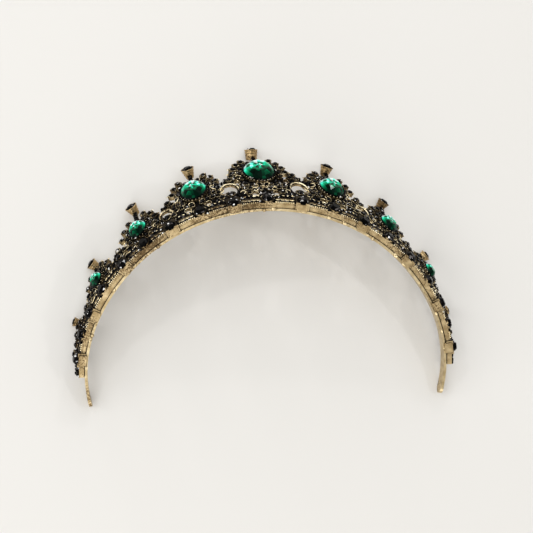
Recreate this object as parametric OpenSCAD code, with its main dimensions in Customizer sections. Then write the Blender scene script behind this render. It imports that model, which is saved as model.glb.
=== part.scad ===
/* [Headband] */
// Inner radius of the headband over its front
front_r = 74.2; // [73:0.1:76]
// Inner radius of the headband at each side
side_r = 70; // [69:0.1:72]
// Inner radius of the headband towards its ends
tail_r = 50.4; // [48:0.1:53]
// Length from the middle to each end of the strip
strip_len = 117; // [114:0.5:120]
// Thickness of the strip
strip_t = 1.1; // [0.8:0.05:1.2]
// Width of the strip
strip_w = 5; // [4.6:0.1:5.2]

/* [Castings] */
// Length from the middle to the plain end of the outermost casting
casting_len = 104.6; // [103:0.2:106]
// Distance of the castings' front face from the strip's inner face, at the lower edge
face_out = 3.2; // [3:0.05:3.4]
// Outward lean of the openwork at the front
flare = 20.6; // [19:0.1:22]
// Outward lean of the openwork at the sides
flare_side = 9.4; // [7:0.1:11]
// Thickness of the openwork behind the stones
panel_t = 0.9; // [0.8:0.05:1.1]
// Height of the solid band under the openwork
band_h = 5.2; // [4.8:0.1:5.6]
// Height of the small collars round the stones
collar_h = 0.7; // [0.6:0.05:0.8]
// Wall of a collar
collar_t = 0.3; // [0.25:0.05:0.4]
// Clear space between a stone and the metal, and between the strip and the castings
clearance = 0.12; // [0.1:0.01:0.16]

/* [Stones] */
// Diameter of the small round stones
small_d = 2; // [1.8:0.05:2.1]
// Width of the black stones on the band
band_gem_w = 4.4; // [4:0.1:4.6]
// Height of the black stones on the band
band_gem_h = 4.8; // [4.4:0.1:5]
// Width of the black stone under each green one
drop_gem_w = 4.2; // [3.8:0.1:4.4]
// Height of the black stone under each green one
drop_gem_h = 5.4; // [5:0.1:5.6]
// Diameter of the round stones above the joints
joint_gem_d = 3.2; // [2.8:0.1:3.4]
// Diameter of the stone in the middle's top collet
collet_gem_d = 4.1; // [3.8:0.1:4.2]

/* [Lying] */
// Turn from the band standing level, points down, to lying on its points and its ends
lie_tilt = 21.81; // [20:0.01:24]
// Height of the level band's lower edge over the surface, at the middle of its plan
lie_lift = 4.47; // [3:0.01:6]
// Place of the plan's middle behind the front arc's centre
lie_back = 51.15; // [49:0.05:53]

/* [Hidden] */

$fn = 96;
low = -0.2;

// One row for each unit from the middle outwards. Columns: length along the strip to its
// axis, width and height of its green stone, height of that stone's centre over the
// lower edge's level, height of the top collet, its size against the middle one's, the
// width of its back against its mouth, and its upward turn from the front face's normal
UNITS = [
    [0,    12.2, 15.4, 22.2, 38.8, 1,    0.82, 26],
    [25.2, 10.1, 13.4, 17.1, 34,   1,    0.55, 12],
    [48.5, 7.6,  10.4, 12.4, 30,   0.96, 0.55, 10],
    [71,   5.8,  8.2,  10,   22.8, 0.88, 0.6,  10],
    [89.4, 0,    0,    7,    14,   0.7,  0.6,  10]
];
function unit_at(k) = UNITS[k][0];
function green_w(k) = UNITS[k][1];
function green_h(k) = UNITS[k][2];
function green_z(k) = UNITS[k][3];
function collet_z(k) = UNITS[k][4];
function collet_size(k) = UNITS[k][5];
function collet_back(k) = UNITS[k][6];
function collet_turn(k) = UNITS[k][7];

// One row for each joint after a unit. Columns: length along the strip, height of the
// bridge over the joint, width and height of the window under that bridge (0 is none)
JOINTS = [
    [12.7, 22,   6.4, 8.8],
    [37.2, 18,   4.6, 6.2],
    [59.3, 13.2, 0,   0],
    [80.7, 9.4,  0,   0],
    [98,   7.2,  0,   0]
];
function joint_at(k) = JOINTS[k][0];
function bridge_z(k) = JOINTS[k][1];
function joint_win_w(k) = JOINTS[k][2];
function joint_win_h(k) = JOINTS[k][3];
joint_half = 2.8;

// The plan is three tangent arcs to each side, which meet where castings do; headings are
// counted from the front
front_len = joint_at(1) + joint_half;
side_len = joint_at(3) + joint_half;
deg = 180 / PI;
arc_r = [front_r, side_r, tail_r];
arc_from = [0, front_len, side_len];
heading_1 = deg * front_len / front_r;
heading_2 = heading_1 + deg * (side_len - front_len) / side_r;
arc_heading = [0, heading_1, heading_2];
function outward(h) = [sin(h), -cos(h)];
centre_1 = (front_r - side_r) * outward(heading_1);
arc_centre = [[0, 0], centre_1, centre_1 + (side_r - tail_r) * outward(heading_2)];
function arc_of(s) = s < front_len ? 0 : s < side_len ? 1 : 2;
function heading(s) = arc_heading[arc_of(s)] + deg * (s - arc_from[arc_of(s)]) / arc_r[arc_of(s)];

// The openwork is a cone, steeper at the sides, that also leans towards the front
function arc(k) = arc_of(unit_at(k));
forward = tan(flare) - tan(flare_side);
function lean(k) = atan(tan(flare_side) + forward * cos(heading(unit_at(k))));
function drift(h, z) = forward * sin(h) * max(z - band_h, 0);

// Distance of unit k's front face from the strip's inner face at height z
function face(k, z) = face_out + (z - low) * tan(lean(k));
function face_r(k, z) = arc_r[arc(k)] + face(k, z);
back_out = strip_t + clearance;

// Puts children at heading h of arc k, with the outward way along -Y
module on_arc(k, h) {
    translate([arc_centre[k].x, arc_centre[k].y, 0])
        rotate([0, 0, h])
            children();
}

// Seats children on unit k's front face: X along the band, Y up the face, Z outwards.
// x is measured along the face from the axis at length s
module seat(k, s, x, z) {
    r = face_r(k, z);
    h = heading(s) + deg * x / r;
    on_arc(arc(k), h - deg * drift(h, z) / r)
        translate([0, -r, z])
            rotate([90 + lean(k), 0, 0])
                children();
}

// A stretch of wall between two headings, from its section of [distance out, height] points
module wall(k, h0, h1, section) {
    translate([arc_centre[k].x, arc_centre[k].y, 0])
        rotate([0, 0, h0 - 90])
            rotate_extrude(angle = h1 - h0)
                polygon([for (p = section) [arc_r[k] + p.x, p.y]]);
}

// A leaning sheet from inside to outside of unit k's front face, as a section
function sheet(k, inside, outside, z0, z1) = [
    [face(k, z0) + inside, z0], [face(k, z0) + outside, z0],
    [face(k, z1) + outside, z1], [face(k, z1) + inside, z1]
];

// Drawings of a casting lie in the flat plane that touches the face at length s
function flat_at(k, s, h, z) =
    let (r = face_r(k, z), turn = h - heading(s) - deg * drift(h, z) / r)
    [r * sin(turn), (r * cos(turn) - face_r(k, 0)) * sin(lean(k)) + z * cos(lean(k))];
function flat(k, s, x, z) = flat_at(k, s, heading(s) + deg * x / face_r(k, z), z);
function joint_flat(k, x, z) =
    flat_at(k, unit_at(k), heading(joint_at(k)) + deg * x / face_r(k, z), z);

// Raises a drawing far enough to both sides of its plane to cut through the face
drawn_depth = 16;
module drawn(k, s) {
    on_arc(arc(k), heading(s))
        translate([0, -face_r(k, 0), 0])
            rotate([90 + lean(k), 0, 0])
                translate([0, 0, -drawn_depth / 2])
                    linear_extrude(drawn_depth)
                        children();
}

function oval(w, h, n) = [for (i = [0 : n - 1]) [w / 2 * cos(360 * i / n), h / 2 * sin(360 * i / n)]];

// The middle unit leans a little to its left above its foot
middle_lean = 0.07;
foot_z = 8;
function leaning(k, x, z) = k > 0 ? x : x - middle_lean * max(z - foot_z, 0);
// Turn of a green stone that follows its unit's lean along the band
function unit_turn(k) =
    atan((k > 0 ? forward * sin(heading(unit_at(k))) : middle_lean) * cos(lean(k)));

// Small stones round the green one of unit k, right half: the turn of each from straight
// up, in an inner ring of round stones and an outer ring of long ones
ring_in = [[25, 46, 67, 89, 111], [24, 48, 72], [34, 64, 94], [40, 82], []];
ring_out = [[33, 50, 67, 84], [34, 52, 70], [26, 50, 73], [30, 60, 90], []];
// Distance of each ring from the green stone's edge: sideways, then upwards
in_grow = [[2.05, 2], [1.9, 3.1], [1.8, 2.3], [1.8, 2], [0, 0]];
out_grow = [[4.9, 4.9], [4.7, 7.1], [4.5, 6.1], [4.2, 4.8], [0, 0]];
// Flowers of small stones beside the green stone's foot: place of each, its petals
FLOWERS = [[6.7, 12.1, 5], [7.5, 10.9, 5], [0, 0, 0], [0, 0, 0], [0, 0, 0]];
// Places of the small stones that stand alone, right half of each unit
lone = [
    [[2, 9.6], [6.6, 7.2]],
    [[2.1, 8], [9.9, 7.2]],
    [[2.4, 6.3], [4.9, 8.6], [8.2, 8.7]],
    [[4.9, 6.4], [7.2, 7.4]],
    [[0, 7.4], [2.7, 6.1], [2.7, 8.9], [0, 10.1], [5.3, 6.4]]
];

function on_ring(k, grow, turn, w, h) = [
    (green_w(k) / 2 + grow.x) * sin(turn),
    green_z(k) + (green_h(k) / 2 + grow.y) * cos(turn) * cos(lean(k)),
    w, h, -turn
];
function half_stones(k) = [
    for (t = ring_in[k]) on_ring(k, in_grow[k], t, small_d, small_d),
    for (t = ring_out[k]) on_ring(k, out_grow[k], t, small_d * 0.9, small_d * 1.45),
    for (i = [0 : 1 : FLOWERS[k][2] - 1])
        let (t = 90 + 360 * i / FLOWERS[k][2])
        [FLOWERS[k][0] + 1.95 * cos(t), FLOWERS[k][1] + 1.85 * sin(t), small_d * 0.9, small_d * 0.9, 0],
    for (p = lone[k]) [p.x, p.y, small_d, small_d, 0]
];
function unit_stones_of(k) = [
    for (side = [1, -1])
        for (row = half_stones(k))
            if (side > 0 || row.x > 0)
                [leaning(k, side * row.x, row.y), row.y, row[2], row[3], side * row[4]]
];
bead_z = 8.3;
function bead_d(k) = joint_gem_d - 0.2 * k;
function joint_stones(k) = concat(
    [[0, bead_z - 0.3 * k, bead_d(k), bead_d(k), 0]],
    k < 2 ? [[-3.2, bridge_z(k) - 2.6, small_d, small_d, 0],
             [-0.6, bridge_z(k) - 3.1, small_d, small_d, 0],
             [-1.8, bridge_z(k) - 0.4, small_d, small_d * 1.2, 0]] :
    k == 2 ? [[-0.6, bridge_z(k) - 1.4, small_d, small_d, 0]] : []
);

// Windows of unit k, right half, as rows of [x, z, width, height, turn]
windows = [
    [[4.1, 6.9, 2.3, 4.4, -10], [0, 12, 2.6, 2, 0], [2.9, 13.2, 1.5, 1.7, 0],
     [10, 16.6, 1.9, 3.2, 0]],
    [[4.1, 6.3, 2.2, 4, -12], [7.6, 15.2, 1.7, 2.2, 0], [10.4, 13.4, 1.5, 3, 0]],
    [[3.7, 6, 1.6, 2.8, -12], [7, 11.4, 1.9, 3.2, 0], [8.4, 6.3, 1.7, 2.2, 0]],
    [],
    []
];
joint_window_z = 7.6;

module outline(place, row, grow) {
    translate(place)
        rotate(row[4])
            if (row[2] == row[3]) circle(d = row[2] + 2 * grow);
            else polygon(oval(row[2] + 2 * grow, row[3] + 2 * grow, 16));
}

// The window under the bridge of joint j, drawn with unit k
module joint_window(k, j) {
    z = joint_window_z + joint_win_h(j) / 2;
    if (joint_win_w(j) > 0)
        outline(flat_at(k, unit_at(k), heading(joint_at(j)), z),
            [0, z, joint_win_w(j), joint_win_h(j), 0], 0);
}

module windows_of(k) {
    for (side = [1, -1])
        for (row = windows[k])
            outline(flat(k, unit_at(k), leaning(k, side * row.x, row.y), row.y),
                [0, 0, row[2], row[3], side * row[4]], 0);
}

module small_outlines(k, grow) {
    for (row = unit_stones_of(k)) outline(flat(k, unit_at(k), row.x, row.y), row, grow);
    for (side = k == 0 ? [0, 1] : [0])
        mirror([side, 0, 0])
            for (row = joint_stones(k)) outline(joint_flat(k, row.x, row.y), row, grow);
}

module green_outline(k, grow) {
    if (green_w(k) > 0)
        translate(flat(k, unit_at(k), leaning(k, 0, green_z(k)), green_z(k)))
            rotate(unit_turn(k))
                polygon(oval(green_w(k) + 2 * grow, green_h(k) + 2 * grow, 32));
}

module drop_outline(k, grow) {
    translate(flat(k, unit_at(k), 0, drop_z))
        polygon(oval(drop_gem_w + 2 * grow, drop_gem_h + 2 * grow, 24));
}
drop_z = 2.6;

// The metal between the stones of one unit, before its windows are cut; it ends past the
// middles of the inner ring's stones
web_edge = 1.2;
module web(k) {
    s = unit_at(k);
    right = heading(joint_at(k));
    left = k == 0 ? -right : heading(joint_at(k - 1));
    near = bridge_z(max(k - 1, 0));
    polygon([
        flat_at(k, s, left, band_h - 1), flat_at(k, s, right, band_h - 1),
        flat_at(k, s, right, bridge_z(k) - 3), flat(k, s, 4, bridge_z(k) - 1),
        flat(k, s, -4, near - 1), flat_at(k, s, left, near - 3)
    ]);
    if (green_w(k) > 0)
        translate(flat(k, s, leaning(k, 0, green_z(k)), green_z(k)))
            rotate(unit_turn(k))
                polygon(oval(green_w(k) + 2 * (in_grow[k].x + web_edge),
                    green_h(k) + 2 * (in_grow[k].y + web_edge), 32));
    for (row = unit_stones_of(k))
        if (row.y > green_z(k)) spoke(k, row);
}

// A stem from the green stone's edge to a stone of its outer rings
stem_w = 1.2;
stem_l = 4;
module spoke(k, row) {
    s = unit_at(k);
    to = flat(k, s, row[0], row[1]);
    from = flat(k, s, leaning(k, 0, green_z(k)), green_z(k));
    way = to - from;
    translate(to)
        rotate(atan2(way.y, way.x) - 90)
            translate([-stem_w / 2, -stem_l]) square([stem_w, stem_l]);
}

module unit_floor(k) {
    difference() {
        union() {
            web(k);
            joint_web(k);
            if (k == 0) mirror([1, 0, 0]) joint_web(0);
        }
        windows_of(k);
        joint_window(k, k);
        if (k == 0) mirror([1, 0, 0]) joint_window(0, 0);
        else joint_window(k, k - 1);
    }
    small_outlines(k, collar_t + clearance);
    green_outline(k, green_collar_t);
    drop_outline(k, collar_t + clearance);
    neck(k);
}

module unit_collars(k) {
    difference() {
        union() {
            small_outlines(k, collar_t + clearance);
            drop_outline(k, collar_t + clearance);
        }
        small_outlines(k, clearance);
        green_outline(k, clearance);
        drop_outline(k, clearance);
    }
}

// The post that carries the top collet
module neck(k) {
    s = unit_at(k);
    base = green_w(k) > 0 ? green_z(k) + green_h(k) / 2 * cos(lean(k)) : 6;
    tip = collet_z(k);
    polygon([
        flat(k, s, leaning(k, -2, base), base), flat(k, s, leaning(k, 2, base), base),
        flat(k, s, leaning(k, 0.85, base), base + 0.5 * (tip - base)),
        flat(k, s, leaning(k, 1.1, tip), tip), flat(k, s, leaning(k, -1.1, tip), tip),
        flat(k, s, leaning(k, -0.85, base), base + 0.5 * (tip - base))
    ]);
}

// The metal over the joint after unit k
module joint_web(k) {
    top = bridge_z(k);
    polygon([
        joint_flat(k, -joint_half, band_h - 1), joint_flat(k, joint_half + 1, band_h - 1),
        joint_flat(k, joint_half + 1, top - 2), joint_flat(k, 1, top - 0.6),
        joint_flat(k, -1, top - 0.6), joint_flat(k, -joint_half - 1, top - 2)
    ]);
}

// Above the band a casting ends nearer its joint: rows of [distance past the joint, height]
EDGE = [[joint_half, low - 2], [joint_half, band_h], [joint_half, 10.4], [1.6, 12.4], [1.6, 45]];
edge_margin = 0.2;
function edge_h(j, e) = heading(joint_at(j) + e[0]);
function edge_point(k, s, h, z, shift) = flat_at(k, s, h + deg * shift / face_r(k, z), z);

// The space of casting k in its drawing, less a margin at its two edges
module field(k) {
    s = unit_at(k);
    polygon([
        for (e = EDGE)
            edge_point(k, s, k == 0 ? -edge_h(0, e) : edge_h(k - 1, e), e[1], edge_margin),
        for (i = [len(EDGE) - 1 : -1 : 0])
            edge_point(k, s, k == 4 ? heading(casting_len) : edge_h(k, EDGE[i]), EDGE[i][1],
                -edge_margin)
    ]);
}

// Least distance between two nearly even faces of one casting
step = 0.05;

// The block that holds a black stone on the band: a raised seat with a pocket
block_low = low - 0.6;
block_out = 0.9;
block_wall = 0.5;
block_reach = 5;
band_gem_z = 1.5;
module block(k) {
    s = joint_at(k);
    h = heading(s);
    spread = deg * block_reach / arc_r[arc(k)];
    top = band_h - 0.4;
    difference() {
        intersection() {
            drawn(k, s)
                translate(flat(k, s, 0, band_gem_z))
                    square([band_gem_w + 2 * block_wall, 2 * block_reach - 1], center = true);
            wall(arc(k), h - spread, h + spread, [
                [back_out + step, block_low], [face(k, block_low) + block_out, block_low],
                [face(k, top) + block_out, top], [back_out + step, top]
            ]);
        }
        intersection() {
            drawn(k, s)
                translate(flat(k, s, 0, band_gem_z))
                    polygon(oval(band_gem_w + 2 * clearance, band_gem_h + 2 * clearance, 24));
            wall(arc(k), h - spread, h + spread, sheet(k, step, 3, block_low - 1, top + 1));
        }
    }
}

// The cup at the top of a unit: a cone on the post, opening outwards
collet_t = 0.55;
collet_l = 4.2;
collet_depth = 0.7;
module at_collet(k) {
    seat(k, unit_at(k), leaning(k, 0, collet_z(k)), collet_z(k))
        rotate([-collet_turn(k), 0, 0])
            scale(collet_size(k))
                children();
}
module collet(k) {
    mouth = collet_gem_d + 2 * collet_t;
    at_collet(k)
        difference() {
            translate([0, 0, -collet_l / 2]) cylinder(h = collet_l, d1 = mouth * collet_back(k), d2 = mouth);
            translate([0, 0, collet_l / 2 - collet_depth]) cylinder(h = 2, d = collet_gem_d + 2 * clearance);
        }
}

// The solid band, a wall from one heading to another
module band_wall(k, h0, h1) {
    wall(arc(k), h0, h1, [
        [back_out, low], [face(k, low), low], [face(k, band_h), band_h],
        [face(k, band_h) - panel_t - 0.25, band_h], [back_out, band_h - 1.6]
    ]);
}

// The rail that runs along the band between its large stones
rail_z = 2;
rail_h = 0.5;
rail_out = 0.5;
rail_gap = 2.9;
module rail(k, s0, s1) {
    wall(arc(k), heading(s0), heading(s1), sheet(k, -0.2, rail_out, rail_z, rail_z + rail_h));
}

// Heights at which the openwork's floor and its collars start, inside the band
floor_z = band_h - 1.5;
collar_z = low + step;

// Two castings stand a hair apart
seam = 0.03;
function casting_from(k) = k == 0 ? 0 : joint_at(k - 1) + joint_half + seam;
function casting_to(k) = k == 4 ? casting_len : joint_at(k) + joint_half - seam;

module casting(k) {
    s = unit_at(k);
    h1 = heading(casting_to(k));
    h0 = k == 0 ? -h1 : heading(casting_from(k));
    wide = deg * 4 / arc_r[arc(k)];
    color("darkgoldenrod")
        union() {
            band_wall(k, h0, h1);
            rail(k, s + rail_gap, joint_at(k) - rail_gap);
            if (k > 0) rail(k, casting_from(k) + 4 * step, s - rail_gap);
            intersection() {
                drawn(k, s) intersection() { unit_floor(k); field(k); }
                wall(arc(k), h0 - wide, h1 + wide, sheet(k, -panel_t, -step, floor_z, collet_z(k)));
            }
            intersection() {
                drawn(k, s) intersection() { unit_collars(k); field(k); }
                wall(arc(k), h0 - wide, h1 + wide, sheet(k, -0.3, collar_h, collar_z, collet_z(k)));
            }
            green_setting(k);
            collet(k);
            block(k);
            if (k == 0)
                mirror([1, 0, 0]) {
                    block(0);
                    rail(0, rail_gap, joint_at(0) - rail_gap);
                }
        }
}

// The tall collar round a green stone
green_collar_h = 1.6;
green_collar_t = 0.55;
green_floor = 0.2;
module at_green(k) {
    seat(k, unit_at(k), leaning(k, 0, green_z(k)), green_z(k))
        rotate(unit_turn(k))
            children();
}
module green_setting(k) {
    if (green_w(k) > 0)
        at_green(k)
            difference() {
                translate([0, 0, -panel_t / 2])
                    linear_extrude(green_collar_h + panel_t / 2)
                        polygon(oval(green_w(k) + 2 * green_collar_t, green_h(k) + 2 * green_collar_t, 32));
                translate([0, 0, green_floor])
                    linear_extrude(3)
                        polygon(oval(green_w(k) + 2 * clearance, green_h(k) + 2 * clearance, 32));
            }
}

// A cut stone with an eight-sided table, standing on its narrow base
module gem(w, h, base, crown) {
    foot = [for (p = oval(w * 0.5, h * 0.5, 8)) [p.x, p.y, 0]];
    girdle = [for (p = oval(w, h, 16)) [p.x, p.y, base]];
    table = [for (p = oval(w * 0.6, h * 0.6, 8)) [p.x, p.y, base + crown]];
    polyhedron(
        concat(foot, girdle, table),
        concat(
            [[for (i = [0 : 7]) i]],
            [[for (i = [7 : -1 : 0]) 24 + i]],
            [for (i = [0 : 7]) [i, 8 + 2 * i, 9 + 2 * i]],
            [for (i = [0 : 7]) [i, 9 + 2 * i, (i + 1) % 8]],
            [for (i = [0 : 7]) [(i + 1) % 8, 9 + 2 * i, 8 + (2 * i + 2) % 16]],
            [for (i = [0 : 7]) [24 + i, 9 + 2 * i, 8 + 2 * i]],
            [for (i = [0 : 7]) [24 + i, 24 + (i + 1) % 8, 9 + 2 * i]],
            [for (i = [0 : 7]) [24 + (i + 1) % 8, 8 + (2 * i + 2) % 16, 9 + 2 * i]]
        )
    );
}

// Stones are set this far above their seats
lift = 0.12;
small_h = 1.15;
module green_stone(k) {
    color("darkgreen")
        at_green(k)
            translate([0, 0, green_floor + lift])
                gem(green_w(k), green_h(k), 1.6, 0.16 * green_w(k) + 0.5);
}

module drop_stone(k) {
    color("black")
        seat(k, unit_at(k), 0, drop_z)
            translate([0, 0, lift])
                gem(drop_gem_w, drop_gem_h, 0.5, 1.2);
}

module band_stone(k) {
    color("black")
        seat(k, joint_at(k), 0, band_gem_z)
            translate([0, 0, lift])
                gem(band_gem_w, band_gem_h, 0.7, 1.3);
}

module top_stone(k) {
    color("black")
        at_collet(k)
            translate([0, 0, collet_l / 2 - collet_depth + lift])
                gem(collet_gem_d, collet_gem_d, 0.4, 0.9);
}

module small_stone(k, s, row) {
    seat(k, s, row[0], row[1])
        translate([0, 0, lift])
            rotate(row[4])
                scale([row[2], row[3], 1])
                    cylinder(h = small_h, d1 = 1, d2 = 0.6, $fn = 8);
}

module unit_stones(k) {
    for (row = unit_stones_of(k)) small_stone(k, unit_at(k), row);
}

module small_stones_side() {
    color("black")
        for (k = [1 : 4]) {
            unit_stones(k);
            for (row = joint_stones(k)) small_stone(k, joint_at(k), row);
        }
}

module small_stones_centre() {
    color("black") {
        unit_stones(0);
        for (side = [0, 1])
            mirror([side, 0, 0])
                for (row = joint_stones(0)) small_stone(0, joint_at(0), row);
    }
}

// The spring strip: one long bend of short flats, with thicker rounded ends
strip_flats = 31;
round_r = strip_w / 2;
function strip_at(i, out) =
    let (s = abs(i) * (strip_len - round_r) / strip_flats,
        k = arc_of(s),
        p = arc_centre[k] + (arc_r[k] + out) * outward(heading(s)))
    [sign(i) * abs(p.x), p.y];
module strip_bend() {
    linear_extrude(strip_w)
        polygon([
            for (i = [-strip_flats : strip_flats]) strip_at(i, strip_t),
            for (i = [strip_flats : -1 : -strip_flats]) strip_at(i, 0)
        ]);
}
module strip_end() {
    on_arc(2, heading(strip_len - round_r))
        translate([0, -tail_r + step, round_r])
            rotate([90, 0, 0])
                cylinder(r = round_r, h = strip_t + 2 * step);
}

// Drops of solder on the strip's lower edge, by length; less than nothing is to the left
solder_at = [-1.7, 43, -45, -88, 98];
solder_d = 1.5;
solder_in = 0.4;
module solder(s) {
    mirror([s < 0 ? 1 : 0, 0, 0])
        on_arc(arc_of(abs(s)), heading(abs(s)))
            translate([0, -arc_r[arc_of(abs(s))] - solder_in, 0.1])
                sphere(d = solder_d, $fn = 32);
}

module headband_strip() {
    color("goldenrod")
        union() {
            strip_bend();
            strip_end();
            mirror([1, 0, 0]) strip_end();
            for (s = solder_at) solder(s);
        }
}

// The tiara lies points down: it rests on its front points and on the ends of its strip
module lying() {
    translate([0, lie_back, lie_lift])
        rotate([-lie_tilt, 0, 0])
            rotate([0, 180, 0])
                children();
}

module left() {
    mirror([1, 0, 0]) children();
}

// Right is the wearer's front view's right, which the lying turn brings to -X
lying() headband_strip();
lying() casting(0);  // casting_centre
for (k = [1 : 4]) {
    lying() casting(k);
    lying() left() casting(k);
}
lying() green_stone(0);  // green_stone_centre
for (k = [1 : 3]) {
    lying() green_stone(k);
    lying() left() green_stone(k);
}
lying() drop_stone(0);  // drop_stone_centre
lying() top_stone(0);  // top_stone_centre
for (k = [1 : 4]) {
    lying() drop_stone(k);
    lying() left() drop_stone(k);
    lying() top_stone(k);
    lying() left() top_stone(k);
}
for (k = [0 : 4]) {
    lying() band_stone(k);
    lying() left() band_stone(k);
}
lying() small_stones_centre();
lying() small_stones_side();  // small_stones_right
lying() left() small_stones_side();  // small_stones_left
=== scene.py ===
import math
import bpy
import numpy as np
from mathutils import Matrix, Vector
from mathutils.bvhtree import BVHTree


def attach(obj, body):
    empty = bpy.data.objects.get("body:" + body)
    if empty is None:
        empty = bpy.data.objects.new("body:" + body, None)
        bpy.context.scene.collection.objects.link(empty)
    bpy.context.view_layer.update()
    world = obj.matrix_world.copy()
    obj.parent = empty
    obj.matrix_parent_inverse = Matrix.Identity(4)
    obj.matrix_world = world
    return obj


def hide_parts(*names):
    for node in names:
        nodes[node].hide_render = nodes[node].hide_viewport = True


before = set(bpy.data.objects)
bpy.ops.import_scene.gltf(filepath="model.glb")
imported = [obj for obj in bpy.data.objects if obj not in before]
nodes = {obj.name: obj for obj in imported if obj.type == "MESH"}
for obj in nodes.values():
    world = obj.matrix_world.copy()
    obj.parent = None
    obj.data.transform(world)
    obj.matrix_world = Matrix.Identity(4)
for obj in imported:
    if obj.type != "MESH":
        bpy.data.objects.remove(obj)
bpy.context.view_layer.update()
print("solids loaded:", len(nodes))

# the plan and the leaning face of the band, as the solids have them, in millimetres
plan = {
    "arcRadii": (74.2, 70.0, 50.4),
    "arcStarts": (0.0, 40.0, 83.5),      # lengths along the strip
    "faceOut": 3.2,
    "flare": 20.6,
    "flareSide": 9.4,
    "lowEdge": -0.2,
    "bandHeight": 5.2,
    "unitAt": (0.0, 25.2, 48.5, 71.0, 89.4),
    "jointAt": (12.7, 37.2, 59.3, 80.7, 98.0),
    "castingEnd": 104.6,
    "lieTilt": 21.81,                    # how the tiara lies, points down
    "lieLift": 4.47,
    "lieBack": 51.15,
}
arcRadii = np.array(plan["arcRadii"])
arcStarts = np.array(plan["arcStarts"])
arcHeadings = np.concatenate([[0.0], np.cumsum(np.diff(arcStarts) / arcRadii[:-1])])


def outwardWay(heading):
    # (sin, -cos) of the heading
    return np.stack([np.sin(heading), -np.cos(heading)], -1)


# each arc's centre steps back along its first heading by the change of radius
arcCentres = np.concatenate([[[0.0, 0.0]], np.cumsum(
    (arcRadii[:-1] - arcRadii[1:])[:, None] * outwardWay(arcHeadings[1:]), axis=0)])
slopeFront = math.tan(math.radians(plan["flare"]))
slopeSide = math.tan(math.radians(plan["flareSide"]))


def arcOf(length):
    # number of the arc: how many later arcs start before this length
    return np.searchsorted(arcStarts[1:], length, side="right")


def headingAt(length):
    # heading where the arc starts plus the length gone along it over its radius
    arc = arcOf(length)
    return arcHeadings[arc] + (length - arcStarts[arc]) / arcRadii[arc]


def leanOf(unit):
    # slope = side slope + (front slope - side slope) times the cosine of the unit's heading
    return math.atan(slopeSide + (slopeFront - slopeSide) * math.cos(headingAt(plan["unitAt"][unit])))


def riseOf(unit):
    # height gained for each millimetre up the face: the cosine of its lean
    return math.cos(leanOf(unit))


def onFace(unit, along, height, out=0.0, length=None):
    # radius = arc + face distance, which grows with height by the lean; the heading turns by along / radius
    # less the forward drift; gives places and the ways along, up the face and outwards
    length = plan["unitAt"][unit] if length is None else length
    given = (np.asarray(v, float) for v in (length, along, height, out))
    length, along, height, out = np.broadcast_arrays(*given)
    lean = leanOf(unit)
    arc = int(arcOf(plan["unitAt"][unit]))
    radius = arcRadii[arc] + plan["faceOut"] + (height - plan["lowEdge"]) * math.tan(lean)
    heading = headingAt(length) + along / radius
    drift = (slopeFront - slopeSide) * np.sin(heading) * np.maximum(height - plan["bandHeight"], 0)
    turn = heading - drift / radius
    zero = np.zeros_like(turn)
    level = np.stack([np.sin(turn), -np.cos(turn), zero], -1)
    sideways = np.stack([np.cos(turn), np.sin(turn), zero], -1)
    upright = np.array([0.0, 0.0, 1.0])
    outward = level * math.cos(lean) - upright * math.sin(lean)
    upFace = level * math.sin(lean) + upright * math.cos(lean)
    places = level * radius[..., None] + upright * height[..., None] + outward * out[..., None]
    places[..., :2] += arcCentres[arc]
    return places, np.stack([sideways, upFace, outward], -2)


def onStrip(lengths, out, height):
    # arc centre + (radius + out) times the outward way; gives places, the ways outwards and the headings
    arc, heading = arcOf(lengths), headingAt(lengths)
    level = np.concatenate([outwardWay(heading), np.zeros((len(lengths), 1))], 1)
    places = level * (arcRadii[arc] + out)[:, None]
    places[:, :2] += arcCentres[arc]
    places[:, 2] = height
    return places, level, heading


tiltAngle = math.radians(plan["lieTilt"])


def layWay(ways):
    # half a turn about Y, then the lying tilt about X
    x, y, z = ways[..., 0], ways[..., 1], ways[..., 2]
    c, s = math.cos(tiltAngle), math.sin(tiltAngle)
    return np.stack([-x, y * c - z * s, -y * s - z * c], -1)


def layDown(points):
    # from the band standing level, in millimetres, to the tiara lying, in metres
    return (layWay(points) + np.array([0.0, plan["lieBack"], plan["lieLift"]])) * 0.001


# camera, from the photograph's own viewpoint
view = {
    "eye": (-65.89, -143.64, -488.03),
    "right": (0.9912, 0.002, -0.1324),
    "down": (-0.0261, 0.9833, -0.18),
    "lens": 87.52,
    "sensor": 36.0,
    "nearest": 0.01,
}
cameraData = bpy.data.cameras.new("photoCamera")
cameraData.lens = view["lens"]
cameraData.sensor_width = view["sensor"]
cameraData.clip_start = view["nearest"]
camera = bpy.data.objects.new("photoCamera", cameraData)
bpy.context.scene.collection.objects.link(camera)
rightWay = layWay(np.array(view["right"]))
upWay = -layWay(np.array(view["down"]))
cameraMatrix = np.eye(4)
cameraMatrix[:3, :3] = np.stack([rightWay, upWay, np.cross(rightWay, upWay)], 1)
cameraMatrix[:3, 3] = layDown(np.array(view["eye"]))
camera.matrix_world = Matrix(cameraMatrix.tolist())
bpy.context.scene.camera = camera
bpy.context.scene.view_settings.view_transform = "Standard"
bpy.context.scene.view_settings.look = "Medium High Contrast"
print("camera placed")


# meshes: a part is its points and its triangles
def facingOut(points, faces):
    # the sum of the corners' triple products is six times the volume; a negative one turns the faces round
    a, b, c = (points[faces[:, i]] for i in range(3))
    return (points, faces) if np.einsum("ij,ij->", a, np.cross(b, c)) > 0 else (points, faces[:, ::-1])


def joined(parts):
    # the parts' points end to end, with their face numbers moved on
    starts = np.cumsum([0] + [len(p) for p, f in parts[:-1]])
    return np.concatenate([p for p, f in parts]), np.concatenate([f + s for (p, f), s in zip(parts, starts)])


def mirrored(part):
    # x changes sign, and the faces turn round with it
    return part[0] * np.array([-1.0, 1.0, 1.0]), part[1][:, ::-1]


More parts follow.
